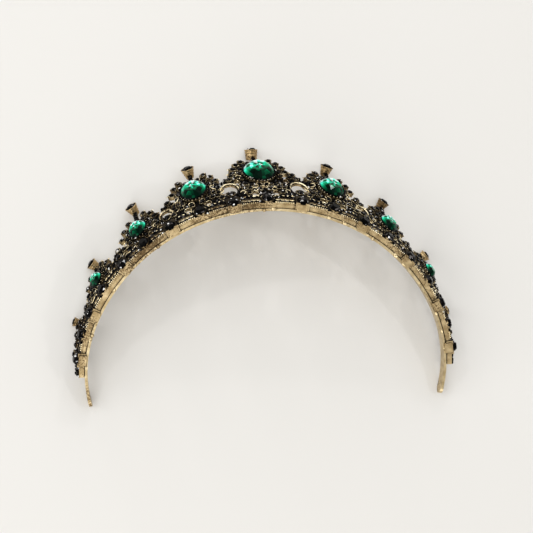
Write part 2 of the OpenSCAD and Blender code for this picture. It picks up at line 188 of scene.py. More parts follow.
def bothSides(part):
    # the part and its mirror image
    return joined([part, mirrored(part)])


def ofUnit(unit, part):
    # the middle unit stands once, the others on both sides
    return part if unit == 0 else bothSides(part)


def turned(x, y, degrees):
    # (x cos - y sin, x sin + y cos)
    c, s = np.cos(np.radians(degrees)), np.sin(np.radians(degrees))
    return c * x - s * y, s * x + c * y


def stamped(shape, places, ways, sizes, spins=0.0):
    # every copy is place + ways times (the shape, scaled and spun about its own axis)
    points, faces = shape
    count = len(places)
    local = points[None] * np.broadcast_to(np.asarray(sizes, float), (count, 3))[:, None]
    x, y = turned(local[..., 0], local[..., 1], np.broadcast_to(spins, (count,))[:, None])
    world = places[:, None] + np.einsum("nmi,nij->nmj", np.stack([x, y, local[..., 2]], -1), ways)
    numbers = faces[None] + (np.arange(count) * len(points))[:, None, None]
    return world.reshape(-1, 3), numbers.reshape(-1, 3)


def wallFaces(rings, sides, closed=False):
    # two triangles for each step round and from ring to ring; when closed, the last ring meets the first
    i, j = np.meshgrid(np.arange(rings if closed else rings - 1), np.arange(sides), indexing="ij")
    a, b = i * sides + j, i * sides + (j + 1) % sides
    c, d = (a + sides) % (rings * sides), (b + sides) % (rings * sides)
    return np.concatenate([np.stack([a, c, d], -1).reshape(-1, 3), np.stack([a, d, b], -1).reshape(-1, 3)])


def lofted(rings, foot=None, tip=None):
    # a closed skin over a stack of rings; each end is flat, or runs to the point that is given for it
    count, sides = rings.shape[:2]
    points, faces = [rings.reshape(-1, 3)], [wallFaces(count, sides)]
    k = np.arange(sides)
    for first, point, order in ((0, foot, 1), ((count - 1) * sides, tip, -1)):
        if point is None:
            end = first + np.stack([0 * k, k, k + 1], -1)[1:-1]
        else:
            end = np.stack([0 * k + sum(len(p) for p in points), first + k, first + (k + 1) % sides], -1)
            points.append([point])
        faces.append(end[:, ::order])
    return facingOut(np.concatenate(points), np.concatenate(faces))


def tube(places, outways, radius, flatness=1.0, sides=7, closed=False):
    # rings across the path: side way = path way x outward way; radius may change along it
    count = len(places)
    radius = np.broadcast_to(np.asarray(radius, float), (count,))
    way = np.roll(places, -1, 0) - np.roll(places, 1, 0) if closed else np.gradient(places, axis=0)
    way /= np.linalg.norm(way, axis=1)[:, None]
    across = np.cross(way, outways)
    across /= np.linalg.norm(across, axis=1)[:, None]
    angles = (2 * np.pi * np.arange(sides) / sides)[None, :, None]
    spokes = np.cos(angles) * across[:, None] * flatness + np.sin(angles) * outways[:, None]
    rings = places[:, None] + radius[:, None, None] * spokes
    return facingOut(rings.reshape(-1, 3), wallFaces(count, sides, True)) if closed else lofted(rings)


def addPiece(name, part, material, smooth=False, stands=(), placeOf=None):
    # lays the part down as an object of its own; stands names the nodes that it stands for
    points, faces = part
    mesh = bpy.data.meshes.new(name)
    mesh.from_pydata(layDown(points).tolist(), [], faces.tolist())
    mesh.materials.append(material)
    mesh.polygons.foreach_set("use_smooth", np.full(len(faces), smooth))
    if placeOf is not None:
        mesh.uv_layers.new(name="stonePlace").data.foreach_set("uv", placeOf[faces.ravel()].ravel())
    mesh.update()
    piece = bpy.data.objects.new(name, mesh)
    bpy.context.scene.collection.objects.link(piece)
    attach(piece, "root")
    if stands:
        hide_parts(*stands)


# materials
def newMaterial(name):
    # gives the material, its tree and its shader
    material = bpy.data.materials.new(name)
    material.use_nodes = True
    return material, material.node_tree, material.node_tree.nodes["Principled BSDF"]


def feed(tree, node, values):
    # numbers, colours (tuples) and ways (lists) are set on the input of that name; outputs are linked to it
    for key, value in values.items():
        if isinstance(value, (int, float, list)):
            node.inputs[key].default_value = value
        elif isinstance(value, tuple):
            node.inputs[key].default_value = (*value, 1.0)
        else:
            tree.links.new(value, node.inputs[key])


def addNode(tree, kind, values=(), **properties):
    # a node with its properties first and its inputs after them
    node = tree.nodes.new(kind)
    for key, value in properties.items():
        setattr(node, key, value)
    feed(tree, node, dict(values))
    return node


def coordinatesOf(tree):
    # the object's own coordinates
    return addNode(tree, "ShaderNodeTexCoord").outputs["Object"]


def noiseNode(tree, coordinates, scale, detail, roughness=0.6):
    # a cloudy noise, most of it between 0.3 and 0.7
    return addNode(tree, "ShaderNodeTexNoise", {
        "Vector": coordinates, "Scale": scale, "Detail": detail, "Roughness": roughness}).outputs["Fac"]


def rampNode(tree, value, stops):
    # the colour between the two stops next to the value; a number stands for a grey
    ramp = addNode(tree, "ShaderNodeValToRGB", {"Fac": value})
    elements = ramp.color_ramp.elements
    while len(elements) < len(stops):
        elements.new(0.5)
    for element, (place, colour) in zip(elements, stops):
        element.position = place
        element.color = (*colour, 1.0) if isinstance(colour, tuple) else (colour, colour, colour, 1.0)
    return ramp.outputs["Color"]


def mixColours(tree, factor, first, second, blend="MIX"):
    # first (1 - factor) + second factor, or their product
    values = {"Factor": factor, "A": first, "B": second}
    return addNode(tree, "ShaderNodeMix", values, data_type="RGBA", blend_type=blend).outputs["Result"]


def mathNode(tree, operation, first, second):
    # the operation on two numbers
    return addNode(tree, "ShaderNodeMath", {0: first, 1: second}, operation=operation).outputs[0]


def wayNode(tree, operation, first, second, output):
    # the operation on two ways
    return addNode(tree, "ShaderNodeVectorMath", {0: first, 1: second}, operation=operation).outputs[output]


def mapRange(tree, value, low, high, first, last):
    # first + (last - first) (value - low) / (high - low), held between first and last
    return addNode(tree, "ShaderNodeMapRange", {
        "Value": value, "From Min": low, "From Max": high, "To Min": first, "To Max": last}).outputs["Result"]


def frontShare(tree, look, coordinates, free):
    # 1 where a face looks away from the middle of the arc and not to the edge worn next to the skin; a little
    # less where it stands free
    normal = addNode(tree, "ShaderNodeNewGeometry").outputs["True Normal"]
    edgeWay = layWay(np.array([0.0, 0.0, -1.0])).tolist()
    middle = layDown(np.array([0.0, 0.0, look["middleHeight"]])).tolist()
    toEdge = wayNode(tree, "DOT_PRODUCT", normal, edgeWay, "Value")
    fromMiddle = wayNode(tree, "SUBTRACT", coordinates, middle, "Vector")
    outward = wayNode(tree, "DOT_PRODUCT", normal, fromMiddle, "Value")
    front = mathNode(tree, "MULTIPLY", mapRange(tree, toEdge, *look["edgeTurn"], look["blackened"], 0.0),
                     mapRange(tree, outward, *look["outwardTurn"], 0.0, 1.0))
    return mathNode(tree, "MULTIPLY", front, mapRange(tree, free, *look["freeRange"], 1.0, look["freeBlack"]))


def agedBrass(name, look):
    # gold on what stands free, brown patina where the metal is hemmed in, both broken up by three sizes of
    # noise; fronts can be blackened as a whole
    material, tree, shader = newMaterial(name)
    coordinates = coordinatesOf(tree)
    broad = noiseNode(tree, coordinates, look["blotchScale"], 3.0)
    fine = noiseNode(tree, coordinates, look["grainScale"], 5.0, 0.65)
    stretches = noiseNode(tree, coordinates, look["zoneScale"], 2.0)
    blotches = rampNode(tree, broad, tuple(zip(look["blotchRange"], (0.0, 1.0))))
    gold = mixColours(tree, blotches, look["gold"], look["paleGold"])
    zone = mapRange(tree, stretches, 0.35, 0.65, -look["zoneReach"], look["zoneReach"])
    speckle = rampNode(tree, mathNode(tree, "ADD", fine, zone),
                       ((look["speckleFrom"], 1.0), (look["speckleFrom"] + look["speckleSoft"], 0.0)))
    worn = mixColours(tree, speckle, gold, look["brown"])
    hemmed = addNode(tree, "ShaderNodeAmbientOcclusion", {"Distance": look["patinaReach"]}, samples=4)
    free = hemmed.outputs["AO"]
    grain = mapRange(tree, fine, 0.3, 0.7, -look["patinaGrain"], look["patinaGrain"])
    shade = mathNode(tree, "ADD", free, grain)
    patina = mapRange(tree, shade, look["patinaTo"], look["patinaFrom"], 1.0, 0.0)
    if look["blackened"]:
        front = frontShare(tree, look, coordinates, free)
        rubbed = mapRange(tree, fine, 0.35, 0.6, 1.0, 0.95)
        patina = mathNode(tree, "MAXIMUM", patina, mathNode(tree, "MULTIPLY", front, rubbed))
    rough = mathNode(tree, "ADD", mapRange(tree, fine, 0.3, 0.7, look["roughFrom"], look["roughTo"]),
                     mapRange(tree, patina, 0.0, 1.0, 0.0, look["patinaRough"]))
    pits = addNode(tree, "ShaderNodeTexVoronoi", {"Vector": coordinates, "Scale": look["pitScale"]})
    relief = mathNode(tree, "ADD", fine, mapRange(tree, pits.outputs["Distance"], 0.0, 0.5, 0.0, 0.5))
    bump = addNode(tree, "ShaderNodeBump", {
        "Strength": look["bumpStrength"], "Distance": look["bumpHeight"], "Height": relief})
    feed(tree, shader, {
        "Base Color": mixColours(tree, patina, worn, look["patina"]),
        "Metallic": mapRange(tree, patina, 0.0, 1.0, 1.0, look["patinaMetal"]),
        "Roughness": rough,
        "Specular IOR Level": look["shine"],
        "Normal": bump.outputs["Normal"],
    })
    return material


castLook = {
    "gold": (0.34, 0.252, 0.134),
    "paleGold": (0.58, 0.46, 0.275),
    "brown": (0.14, 0.096, 0.050),
    "patina": (0.004, 0.003, 0.002),
    "blackened": 0.99,
    "freeBlack": 0.94,               # what is left of that where the metal stands free
    "freeRange": (0.88, 1.0),
    "edgeTurn": (0.55, 0.85),        # cosines between which a face turns from the front to the worn edge
    "outwardTurn": (-0.025, 0.005),  # metres from the middle, along the face's own way
    "middleHeight": 8.0,
    "blotchScale": 320.0,
    "blotchRange": (0.36, 0.64),
    "grainScale": 1500.0,
    "speckleFrom": 0.38,
    "speckleSoft": 0.13,
    "zoneScale": 55.0,               # stretches of metal with more and with fewer specks
    "zoneReach": 0.15,
    "patinaReach": 0.0018,
    "patinaFrom": 0.80,
    "patinaTo": 0.42,
    "patinaGrain": 0.12,
    "patinaRough": 0.22,
    "patinaMetal": 0.35,
    "roughFrom": 0.30,
    "roughTo": 0.52,
    "shine": 0.12,
    "pitScale": 1500.0,
    "bumpStrength": 0.55,
    "bumpHeight": 0.00012,
}
stripLook = dict(
    castLook, blackened=0.0, gold=(0.48, 0.375, 0.215), paleGold=(0.72, 0.60, 0.38),
    brown=(0.20, 0.14, 0.075), speckleFrom=0.30, patinaReach=0.0009, patinaFrom=0.7, patinaTo=0.3,
    roughFrom=0.28, roughTo=0.42, bumpStrength=0.3, bumpHeight=0.00006)
wireLook = dict(
    castLook, blackened=0.0, gold=(0.92, 0.76, 0.46), paleGold=(1.0, 0.91, 0.68), brown=(0.24, 0.165, 0.085),
    patinaReach=0.0007, patinaFrom=0.48, patinaTo=0.10, roughFrom=0.22, roughTo=0.40, bumpStrength=0.35,
    bumpHeight=0.00005)
clawLook = dict(
    wireLook, gold=(0.10, 0.07, 0.035), paleGold=(0.80, 0.66, 0.42), brown=(0.05, 0.035, 0.018),
    speckleFrom=0.44, patinaFrom=0.72, patinaTo=0.3)
sleeveLook = dict(
    wireLook, gold=(0.48, 0.34, 0.17), paleGold=(0.68, 0.52, 0.30), brown=(0.20, 0.135, 0.065),
    patinaReach=0.0010, patinaFrom=0.85, patinaTo=0.35)
# painted shadow: a near-black brass for the tube in the seam's gap, where there is only shade
seamShadowLook = dict(
    castLook, blackened=0.0, gold=(0.03, 0.021, 0.012), paleGold=(0.05, 0.036, 0.02),
    brown=(0.01, 0.007, 0.004))
castMetal = agedBrass("castBrass", castLook)
stripMetal = agedBrass("stripBrass", stripLook)
wireMetal = agedBrass("wireBrass", wireLook)
clawMetal = agedBrass("clawBrass", clawLook)
sleeveMetal = agedBrass("sleeveBrass", sleeveLook)
seamShadowPaint = agedBrass("seamShadowPaint", seamShadowLook)

jetLook = {
    "dust": (0.004, 0.0036, 0.0033),
    "dustScale": 900.0,
    "dustMost": 0.5,
    "shine": 0.07,
    "roughFrom": 0.018,
    "roughTo": 0.057,
    "refraction": 1.5,
    "paintedGlintScale": 1400.0,
    # painted glints: grey and white cells in the base colour stand in for facets catching light
    "paintedGlints": ((0.84, (0.001, 0.001, 0.0012)), (0.88, (0.05, 0.045, 0.044)), (0.955, (0.15, 0.138, 0.135)),
               (0.98, (0.9, 0.89, 0.87))),
}


def blackCrystal(name, look):
    # near-black glass broken into cells, of which a few carry painted glints and grey painted facet
    # reflections in their colour, standing in for the light the facets underneath give back; a faint dust of
    # noise lifts the rest
    material, tree, shader = newMaterial(name)
    coordinates = coordinatesOf(tree)
    dust = noiseNode(tree, coordinates, look["dustScale"], 3.0)
    cells = addNode(tree, "ShaderNodeTexVoronoi", {"Vector": coordinates, "Scale": look["paintedGlintScale"]})
    chance = addNode(tree, "ShaderNodeSeparateColor", {0: cells.outputs["Color"]}).outputs[0]
    share = mapRange(tree, dust, 0.45, 0.75, 0.0, look["dustMost"])
    feed(tree, shader, {
        # base colour: the painted glints of the cells, mixed with dust
        "Base Color": mixColours(tree, share, rampNode(tree, chance, look["paintedGlints"]), look["dust"]),
        "Roughness": mapRange(tree, dust, 0.35, 0.75, look["roughFrom"], look["roughTo"]),
        "IOR": look["refraction"],
        "Specular IOR Level": look["shine"],
    })
    return material


emeraldLook = {
    # the green with painted light: painted shade, near black, towards the band, and a painted highlight, near
    # white, towards the points
    "depths": ((0.08, (0.0, 0.012, 0.006)), (0.32, (0.0, 0.085, 0.036)), (0.44, (0.0, 0.30, 0.14)),
               (0.53, (0.0, 0.62, 0.36)), (0.62, (0.12, 1.0, 0.78)), (0.74, (0.90, 1.0, 0.99))),
    "facetsRound": 13.0,     # facets round the stone and from its middle to its edge
    "facetsOut": 4.5,
    "facetStray": 0.55,
    "facetChance": 0.56,
    # painted facet shade: a share of the facets darkened as if turned away from the light
    "paintedFacetShade": 0.36,
    "paintedFacetShadeChance": (0.1, 0.6),
    "metal": 0.08,
    "rough": 0.05,
    "shine": 0.09,
}


def emeraldCrystal(name, look):
    # foiled glass, its green painted with light: a painted highlight, pale to near white, where it faces the
    # points, and painted shade, deep, towards the band; broken into facets that are the cells of a grid over
    # the turn and the distance from the middle, each cell painted lighter or darker
    material, tree, shader = newMaterial(name)
    place = addNode(tree, "ShaderNodeUVMap", uv_map="stonePlace").outputs["UV"]
    parts = addNode(tree, "ShaderNodeSeparateXYZ", {0: place}).outputs
    across = mathNode(tree, "SUBTRACT", parts["X"], 0.5)
    up = mathNode(tree, "SUBTRACT", parts["Y"], 0.5)
    turn = mathNode(tree, "DIVIDE", mathNode(tree, "ARCTAN2", across, up), 2 * math.pi)
    squares = mathNode(tree, "ADD", mathNode(tree, "POWER", across, 2.0), mathNode(tree, "POWER", up, 2.0))
    reach = mathNode(tree, "SQRT", squares, 0.0)
    grid = addNode(tree, "ShaderNodeCombineXYZ", {
        "X": mathNode(tree, "MULTIPLY", turn, look["facetsRound"]),
        "Y": mathNode(tree, "MULTIPLY", reach, 2 * look["facetsOut"])})
    cells = addNode(tree, "ShaderNodeTexVoronoi", {
        "Vector": grid.outputs[0], "Scale": 1.0, "Randomness": look["facetStray"]}, voronoi_dimensions="2D")
    chances = addNode(tree, "ShaderNodeSeparateColor", {0: cells.outputs["Color"]}).outputs
    shift = mapRange(tree, chances[1], 0.0, 1.0, -look["facetChance"] / 2, look["facetChance"] / 2)
    # painted light: the green ramp up the stone, shifted cell by cell so that facets are painted lit or
    # shaded
    depth = rampNode(tree, mathNode(tree, "ADD", parts["Y"], shift), look["depths"])
    # painted facet shade on some of the cells
    dark = mapRange(tree, chances[0], *look["paintedFacetShadeChance"], look["paintedFacetShade"], 1.0)
    feed(tree, shader, {
        "Base Color": mixColours(tree, 1.0, depth, dark, "MULTIPLY"),
        "Metallic": look["metal"],
        "Roughness": look["rough"],
        "Specular IOR Level": look["shine"],
    })
    return material


jet = blackCrystal("jetCrystal", jetLook)
emerald = emeraldCrystal("emeraldCrystal", emeraldLook)
for name, node in nodes.items():
    metal = stripMetal if name == "headband_strip" else castMetal if name.startswith("casting") else jet
    for holder in node.material_slots:
        holder.link = "DATA"
        holder.material = metal
print("metal and stone finishes made")


# cut stones
def ring(count, size, level, turn=0.0):
    # count points on a circle of that diameter, turned by a share of their pitch
    angles = 2 * np.pi * (np.arange(count) + turn) / count
    return np.stack([size / 2 * np.cos(angles), size / 2 * np.sin(angles), np.full(count, float(level))], -1)


def fan(numbers):
    # triangles from the first corner to each pair of the others
    return [(numbers[0], numbers[i], numbers[i + 1]) for i in range(1, len(numbers) - 1)]


def cutShape(base, crown, tableSize=0.6, footSize=0.5, starOut=0.045, starLevel=0.52):
    # table of eight, eight stars, eight kites, sixteen girdle facets and a pavilion, on rings of 8, 8, 16 and
    # 8 points; the star points lie half way to the edge and a little further
    table = ring(8, tableSize, base + crown)
    stars = ring(8, 0.5 + tableSize / 2 + starOut, base + crown * starLevel, 0.5)
    girdle = ring(16, 1.0, base)
    foot = ring(8, footSize, 0.0)
    t, s, g, f = 0, 8, 16, 32
    faces = fan([t + i for i in range(8)]) + fan([f + i for i in range(7, -1, -1)])
    for i in range(8):
        j = (i + 1) % 8
        faces += [(t + i, s + i, t + j), (t + j, s + i, g + 2 * j), (t + i, g + 2 * i, s + i),
                  (s + i, g + 2 * i, g + 2 * i + 1), (s + i, g + 2 * i + 1, g + 2 * j),
                  (f + i, g + 2 * i + 1, g + 2 * i), (f + i, f + j, g + 2 * i + 1),
                  (f + j, g + 2 * j, g + 2 * i + 1)]
    return np.concatenate([table, stars, girdle, foot]), np.array(faces)


def smallCut(tableSize=0.6, starSize=0.86, starLevel=0.55):
    # eight-sided: table, stars, kites and girdle facets over a flat back, one unit tall
    points = np.concatenate([ring(8, tableSize, 1.0), ring(8, starSize, starLevel, 0.5), ring(8, 1.0, 0.0)])
    faces = fan(list(range(8))) + fan([16 + i for i in range(7, -1, -1)])
    for i in range(8):
        j = (i + 1) % 8
        faces += [(i, 8 + i, j), (j, 8 + i, 16 + j), (i, 16 + i, 8 + i), (8 + i, 16 + i, 16 + j)]
    return facingOut(points, np.array(faces))


def chipCut(sides=7, tableSize=0.52, edge=0.42):
    # the finest stones: a table on a sloping crown over a short straight edge
    return lofted(np.stack([ring(sides, tableSize, 1.0), ring(sides, 1.0, edge), ring(sides, 1.0, 0.0)]))


def domeShape(sides=7, rings=3):
    # half a ball, of rings (cos, sin), on a short stem that is flat below
    turns = np.linspace(0, math.pi / 2, rings + 1)[:-1]
    levels = [(1.0, -1.0)] + [(math.cos(a), math.sin(a)) for a in turns]
    return lofted(np.stack([ring(sides, 2 * r, z) for r, z in levels]), tip=(0.0, 0.0, 1.0))


# the stones, row by row as the solids have them; a cut is the level of its edge and the height of its crown
stones = {
    "greenWidth": (12.2, 10.1, 7.6, 5.8),
    "greenHeight": (15.4, 13.4, 10.4, 8.2),
    "greenAt": (22.2, 17.1, 12.4, 10.0),
    "greenOut": 0.2,
    "greenEdge": 1.6,
    "greenCrown": (0.16, 0.5),       # share of the width, and what is added to it
    "dropAt": 2.6,
    "dropSize": (4.2, 5.4),
    "dropCut": (0.5, 1.2),
    "bandAt": 1.5,
    "bandSize": (4.4, 4.8),
    "bandCut": (0.7, 1.3),
    "topSize": 4.1,
    "topOut": 1.4,
    "topCut": (0.4, 0.9),
    "colletAt": (38.8, 34.0, 30.0, 22.8, 14.0),
    "colletSize": (1.0, 1.0, 0.96, 0.88, 0.7),
    "colletBack": (0.82, 0.55, 0.55, 0.6, 0.6),
    "colletTurn": (26.0, 12.0, 10.0, 10.0, 10.0),
    "bridgeAt": (22.0, 18.0, 13.2, 9.4, 7.2),
    "smallSize": 2.0,
    "smallHeight": 1.15,
    "lift": 0.12,
    "middleLean": 0.07,
    "footAt": 8.0,
}


def leaning(unit, along, height):
    # the middle unit leans to its left above its foot
    if unit:
        return along
    return along - stones["middleLean"] * np.maximum(np.asarray(height) - stones["footAt"], 0)


def unitTurn(unit):
    # the angle by which a unit leans along the band: its slope there, foreshortened by the face's lean
    slope = stones["middleLean"]
    if unit:
        slope = (slopeFront - slopeSide) * math.sin(headingAt(plan["unitAt"][unit]))
    return math.degrees(math.atan(slope * riseOf(unit)))


def axisSeat(unit, height, out=0.0):
    # place and ways on a unit's own axis
    return onFace(unit, leaning(unit, 0.0, height), height, out)


def colletSeat(unit):
    # a collet's place, and its ways turned about the way along, so that outwards tips up the face
    place, (along, up, out) = axisSeat(unit, stones["colletAt"][unit])
    return place, np.stack([along, *turned(up, out, stones["colletTurn"][unit])])


def bigStone(name, seat, size, cut, spin=0.0):
    # one cut stone on its seat; its place across and up the face goes with it as a UV map
    place, ways = seat
    points, faces = cutShape(*cut)
    part = stamped((points, faces), place[None], ways[None], (*size, 1.0), spin)
    part = facingOut(*(mirrored(part) if "_left" in name else part))
    if name.startswith("green"):
        addPiece("cut_" + name, part, emerald, stands=[name], placeOf=points[:, :2] + 0.5)
    else:
        addPiece("cut_" + name, part, jet, stands=[name])


lift = stones["lift"]
for unit in range(5):
    place, ways = colletSeat(unit)
    size = stones["colletSize"][unit]
    topSeat = place + ways[2] * (stones["topOut"] + lift) * size, ways
    topCut = tuple(size * v for v in stones["topCut"])
    dropSeat = onFace(unit, 0.0, stones["dropAt"], lift)
    for side in (["centre"] if unit == 0 else ["right_%d" % unit, "left_%d" % unit]):
        if unit < len(stones["greenAt"]):
            green = stones["greenWidth"][unit], stones["greenHeight"][unit]
            seat = axisSeat(unit, stones["greenAt"][unit], stones["greenOut"] + lift)
            crown = stones["greenCrown"][0] * green[0] + stones["greenCrown"][1]
            bigStone("green_stone_" + side, seat, green, (stones["greenEdge"], crown), unitTurn(unit))
        bigStone("drop_stone_" + side, dropSeat, stones["dropSize"], stones["dropCut"])
        bigStone("top_stone_" + side, topSeat, (stones["topSize"] * size,) * 2, topCut)
    seat = onFace(unit, 0.0, stones["bandAt"], lift, length=plan["jointAt"][unit])
    for side in ("right", "left"):
        bigStone("band_stone_%s_%d" % (side, unit + 1), seat, stones["bandSize"], stones["bandCut"])
print("large stones cut")

# small stones: rings round the green one (turn from straight up, distance past it sideways and up, width and
# tallness), flowers of petals round a middle, and single ones, all for the right half of each unit
ringStones = (
    (((25, 46, 67, 89, 111), (24, 48, 72), (34, 64, 94), (40, 82), ()),
     ((2.05, 2.0), (1.9, 3.1), (1.8, 2.3), (1.8, 2.0), ()), (1.0, 1.0)),
    (((33, 50, 67, 84), (34, 52, 70), (26, 50, 73), (30, 60, 90), ()),
     ((4.9, 4.9), (4.7, 7.1), (4.5, 6.1), (4.2, 4.8), ()), (0.9, 1.45)),
)
flowers = {
    0: (6.7, 12.1),
    1: (7.5, 10.9),
    "petals": 5,
    "reach": (1.95, 1.85),
    "petalSize": 0.9,
}
singles = (
    ((2, 9.6), (6.6, 7.2)),
    ((2.1, 8), (9.9, 7.2)),
    ((2.4, 6.3), (4.9, 8.6), (8.2, 8.7)),
    ((4.9, 6.4), (7.2, 7.4)),
    ((0, 7.4), (2.7, 6.1), (2.7, 8.9), (0, 10.1), (5.3, 6.4)),
)
# over each joint: a round bead, whose level and size fall from unit to unit, and petals as along, up from the
# bridge and tallness
threePetals = ((-3.2, -2.6, 1), (-0.6, -3.1, 1), (-1.8, -0.4, 1.2))
beads = {
    "level": (8.3, 8.0, 7.7, 7.4, 7.1),
    "size": (3.2, 3.0, 2.8, 2.6, 2.4),
    "petals": (threePetals, threePetals, ((-0.6, -1.4, 1),), (), ()),
}


def unitStones(unit):
    # rows of along, height, width, tallness and spin, for both halves of a unit
    small = stones["smallSize"]
    half = []
    for turns, past, (wide, long) in ringStones:
        for turn in turns[unit]:
            x = (stones["greenWidth"][unit] / 2 + past[unit][0]) * math.sin(math.radians(turn))
            up = (stones["greenHeight"][unit] / 2 + past[unit][1]) * math.cos(math.radians(turn))
            half.append((x, stones["greenAt"][unit] + up * riseOf(unit), small * wide, small * long, -turn))
    if unit in flowers:
        (x, z), (wide, long), size = flowers[unit], flowers["reach"], small * flowers["petalSize"]
        for angle in np.radians(90 + 360 * np.arange(flowers["petals"]) / flowers["petals"]):
            half.append((x + wide * math.cos(angle), z + long * math.sin(angle), size, size, 0))
    half += [(x, z, small, small, 0) for x, z in singles[unit]]
    return np.array([(leaning(unit, side * r[0], r[1]), *r[1:4], side * r[4])
                     for side in (1, -1) for r in half if side > 0 or r[0] > 0], float)


def jointStones(unit):
    # the same rows over a joint, counted from the joint
    small, size, bridge = stones["smallSize"], beads["size"][unit], stones["bridgeAt"][unit]
    petals = [(x, bridge + up, small, small * tall, 0) for x, up, tall in beads["petals"][unit]]
    return np.array([(0, beads["level"][unit], size, size, 0)] + petals, float)


claws = {
    "perStone": 3,
    "firstAt": 30,
    "radius": 0.22,
    "top": 1.02,
    "sunk": 0.16,            # how far a claw reaches over the stone's edge
}
stoneRim = {"radius": 0.11, "out": 0.58, "past": 0.10, "steps": 14, "sides": 4}
smallShape = smallCut()
clawShape = domeShape()


def faceWire(unit, path, out, radius, length=None, **more):
    # a tube along a path on the face
    places, ways = onFace(unit, *path, out, length=length)
    return tube(places, ways[..., 2, :], radius, **more)


def ovalPath(unit, x, z, width, tall, turn, first=0.0, last=360.0, steps=36):
    # centre + turned (half width cos, half tallness sin), with the tallness measured up the leaning face
    angles = np.radians(np.linspace(first, last, steps, endpoint=last - first < 360))
    u, v = turned(width / 2 * np.cos(angles), tall / 2 * np.sin(angles), turn)
    return x + u, z + v * riseOf(unit)


def seatedSmall(rows, unit, length=None):
    # small stones on their seats
    seats = onFace(unit, rows[:, 0], rows[:, 1], stones["lift"], length=length)
    sizes = np.stack([rows[:, 2], rows[:, 3], np.full(len(rows), stones["smallHeight"])], -1)
    return stamped(smallShape, *seats, sizes, rows[:, 4])


def clawsRound(rows, unit, length=None):
    # claws stand at even angles on the stone's oval edge, turned by its spin
    angles = np.radians(claws["firstAt"] + 360 * np.arange(claws["perStone"]) / claws["perStone"])
    edge = rows[:, None, 2:4] / 2 + claws["radius"] - claws["sunk"]
    u, v = turned(np.cos(angles) * edge[..., 0], np.sin(angles) * edge[..., 1], rows[:, 4:])
    x, z = rows[:, :1] + u, rows[:, 1:2] + v * riseOf(unit)
    seats = onFace(unit, x.ravel(), z.ravel(), claws["top"] - claws["radius"], length=length)
    return stamped(clawShape, *seats, (claws["radius"],) * 3)


def rimsRound(rows, unit, length=None):
    # a thin oval wire at the foot of every small stone
    past, out, radius = 2 * stoneRim["past"], stoneRim["out"], stoneRim["radius"]
    parts = []
    for x, z, width, tall, spin in rows:
        path = ovalPath(unit, x, z, width + past, tall + past, spin, steps=stoneRim["steps"])
        parts.append(faceWire(unit, path, out, radius, length, sides=stoneRim["sides"], closed=True))
    return joined(parts)


centreParts, sideParts, clawParts, rimParts = [], [], [], []
for unit in range(5):
    rows, joint, jointLength = unitStones(unit), jointStones(unit), plan["jointAt"][unit]
    atJoint = seatedSmall(joint, unit, jointLength)
    clawParts += [ofUnit(unit, clawsRound(rows, unit)), bothSides(clawsRound(joint, unit, jointLength))]
    rimParts += [ofUnit(unit, rimsRound(rows, unit)), bothSides(rimsRound(joint, unit, jointLength))]
    if unit == 0:
        centreParts += [seatedSmall(rows, 0), bothSides(atJoint)]
    else:
        sideParts += [seatedSmall(rows, unit), atJoint]
fields = {"centre": joined(centreParts), "right": joined(sideParts), "left": mirrored(joined(sideParts))}
for side, part in fields.items():
    addPiece("cut_small_stones_" + side, part, jet, stands=["small_stones_" + side])
addPiece("stone_rims", joined(rimParts), wireMetal, smooth=True)
addPiece("stone_claws", joined(clawParts), clawMetal, smooth=True)
print("small stones and claws made")

# where the castings' face is bare: a grid of places, tried by rays straight at the face
search = {
    "cell": 0.2,
    "reach": 16.6,           # to each side of the unit's axis
    "under": 2.0,            # how far below the top collet it ends
    "start": 4.0,            # where the rays start, off the face
    "castRay": 0.006,        # lengths of the rays, in metres
    "stoneRay": 0.0041,
    "level": 0.13,           # how far from the face the metal may lie
    "slack": 0.02,
}
cell = search["cell"]


def treeOf(names):
    # the triangles of these nodes in one search tree
    points, faces, start = [], [], 0
    for name in names:
        mesh = nodes[name].data
        flat = np.empty(len(mesh.vertices) * 3)
        mesh.vertices.foreach_get("co", flat)
        mesh.calc_loop_triangles()
        corners = np.empty(len(mesh.loop_triangles) * 3, np.int32)
        mesh.loop_triangles.foreach_get("vertices", corners)
        points.append(flat.reshape(-1, 3))
        faces.append(corners.reshape(-1, 3) + start)
        start += len(mesh.vertices)
    return BVHTree.FromPolygons(np.concatenate(points).tolist(), np.concatenate(faces).tolist())


stoneTree = treeOf([n for n in nodes if "stone" in n])


def bareFace(unit):
    # a place is bare where a ray straight at the face meets this casting level with it and no stone
    castTree = treeOf(["casting_centre" if unit == 0 else "casting_right_%d" % unit])
    along = np.arange(-search["reach"], search["reach"] + cell, cell)
    height = np.arange(plan["lowEdge"], stones["colletAt"][unit] - search["under"], cell)
    gridAlong, gridHeight = np.meshgrid(along, height)
    places, ways = onFace(unit, gridAlong.ravel(), gridHeight.ravel(), search["start"])
    bare = np.zeros(len(places), bool)
    for i, (start, heading) in enumerate(zip(layDown(places), layWay(-ways[:, 2]))):
        start, heading = Vector(start), Vector(heading)
        hit = castTree.ray_cast(start, heading, search["castRay"])
        if hit[0] is not None and abs(hit[3] * 1000 - search["start"]) <= search["level"]:
            bare[i] = stoneTree.ray_cast(start, heading, search["stoneRay"])[0] is None
    return along, height, bare.reshape(gridAlong.shape)


def shrunk(mask, radius):
    # keeps the places whose whole disc of that radius is free
    reach = int(math.ceil(radius / cell))
    kept = mask.copy()
    for dz in range(-reach, reach + 1):
        for dx in range(-reach, reach + 1):
            if math.hypot(dx, dz) * cell <= radius + search["slack"]:
                kept &= np.roll(np.roll(mask, dz, 0), dx, 1)
    edge = reach + 1
    kept[:, :edge] = kept[:, -edge:] = False
    kept[-edge:] = False
    return kept


